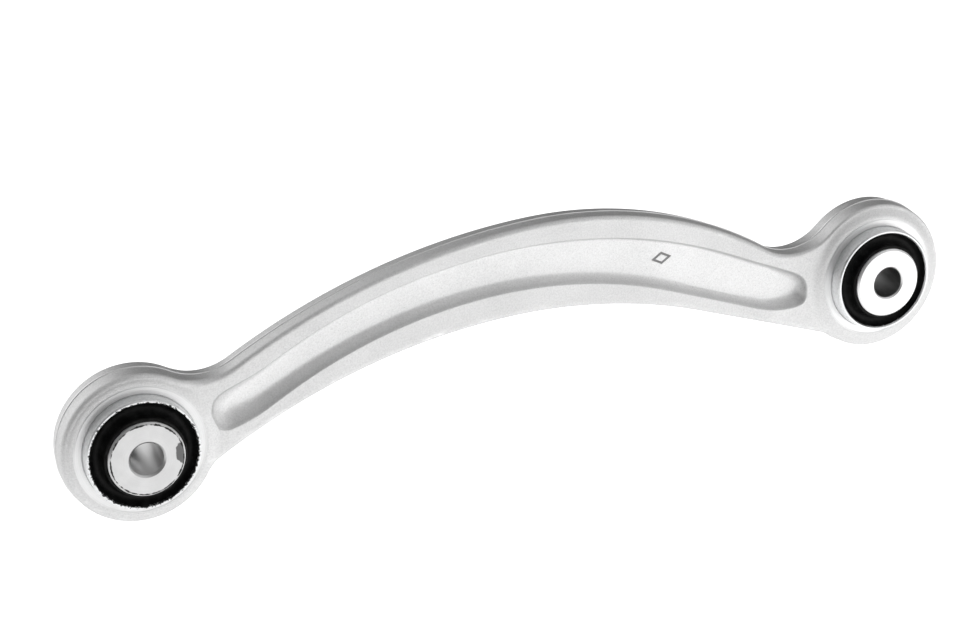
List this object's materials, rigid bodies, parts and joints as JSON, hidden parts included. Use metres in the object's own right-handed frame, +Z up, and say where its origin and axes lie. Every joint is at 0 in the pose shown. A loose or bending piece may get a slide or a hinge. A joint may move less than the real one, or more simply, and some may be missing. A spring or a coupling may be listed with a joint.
{
  "type": "suspension control arm",
  "caption": "Arched forged two-point suspension link with a bonded rubber bush pressed into each eye; each bush has an outer sleeve, a rubber ring and a bolted inner sleeve.",
  "frame": {"origin": "centre of the inboard bush, on its axis and on the arm's parting plane", "axes": "+X from the inboard bush to the outboard bush, Y along both bush axes with the front towards -Y, +Z up, the way the arm arches"},
  "size_m": [0.3647, 0.035, 0.0827],
  "materials": {
    "forging": "fine blasted satin forging, machined eye faces",
    "outer_sleeve": "bright zinc-plated steel tube",
    "inner_sleeve": "turned and plated steel sleeve",
    "bush_rubber": "matte moulded rubber"
  },
  "bodies": {
    "inboard_bolt_sleeve": {"inboard_inner_sleeve": "inner_sleeve"},
    "arm": {"forged_arm": "forging", "inboard_outer_sleeve": "outer_sleeve", "inboard_rubber": "bush_rubber", "outboard_outer_sleeve": "outer_sleeve", "outboard_rubber": "bush_rubber"},
    "outboard_bolt_sleeve": {"outboard_inner_sleeve": "inner_sleeve"}
  },
  "joints": [
    {"name": "inboard_bush_twist", "type": "hinge", "parent": "inboard_bolt_sleeve", "child": "arm", "pos_m": [0, 0, 0], "axis": [0, 1, 0], "range_deg": [-20, 20], "stiffness_Nm_per_rad": 60},
    {"name": "outboard_bush_twist", "type": "hinge", "parent": "arm", "child": "outboard_bolt_sleeve", "pos_m": [0.305, 0, 0], "axis": [0, 1, 0], "range_deg": [-20, 20], "stiffness_Nm_per_rad": 60}
  ]
}
